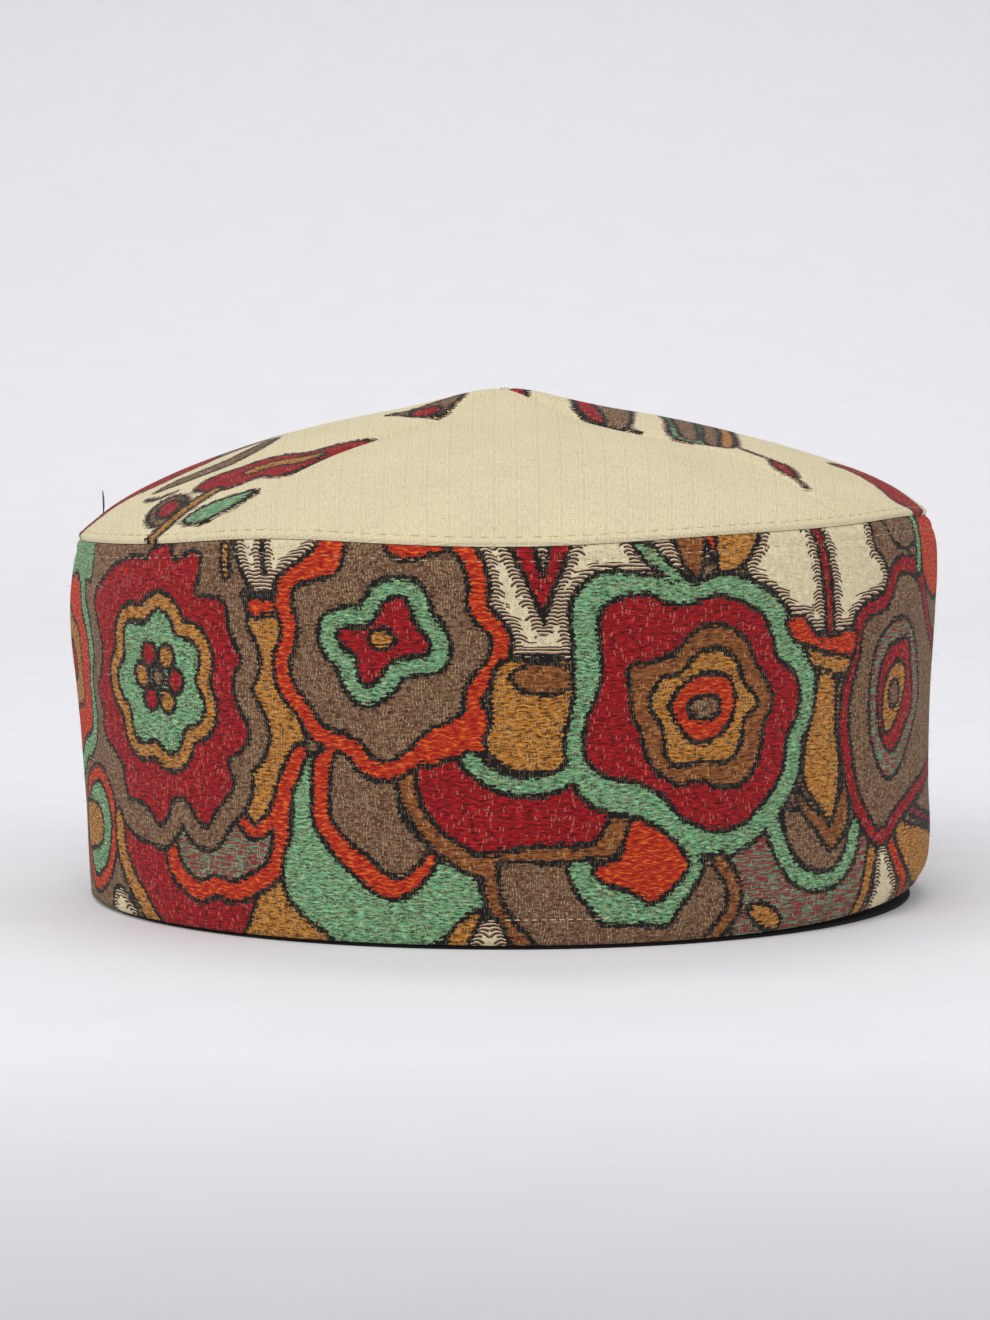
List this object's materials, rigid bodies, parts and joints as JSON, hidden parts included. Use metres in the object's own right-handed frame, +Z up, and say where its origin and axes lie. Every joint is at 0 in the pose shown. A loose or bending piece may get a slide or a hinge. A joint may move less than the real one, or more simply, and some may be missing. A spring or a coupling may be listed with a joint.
{
  "type": "kashmiri kani cap",
  "caption": "Round woven-cloth cap with a tall upright side band, a low peaked crown of wedge panels and a dark facing inside the hem.",
  "frame": {"origin": "on the surface that the cap stands on, under the middle of the cap's box", "axes": "+Z up through the crown's peak, -Y towards the front, +X to the right as the front is seen"},
  "size_m": [0.1904, 0.1884, 0.1111],
  "materials": {
    "patterned_weave": "matt wool weave with red, orange, ochre, green and taupe flowers outlined in black on cream",
    "cream_weave": "matt cream wool with a small diamond weave",
    "facing_cloth": "matt black cloth"
  },
  "bodies": {
    "root": {"band": "patterned_weave", "crown_panel_front": "cream_weave", "crown_panel_right": "cream_weave", "crown_panel_back": "cream_weave", "crown_panel_left": "cream_weave", "hem_facing": "facing_cloth"}
  },
  "joints": []
}
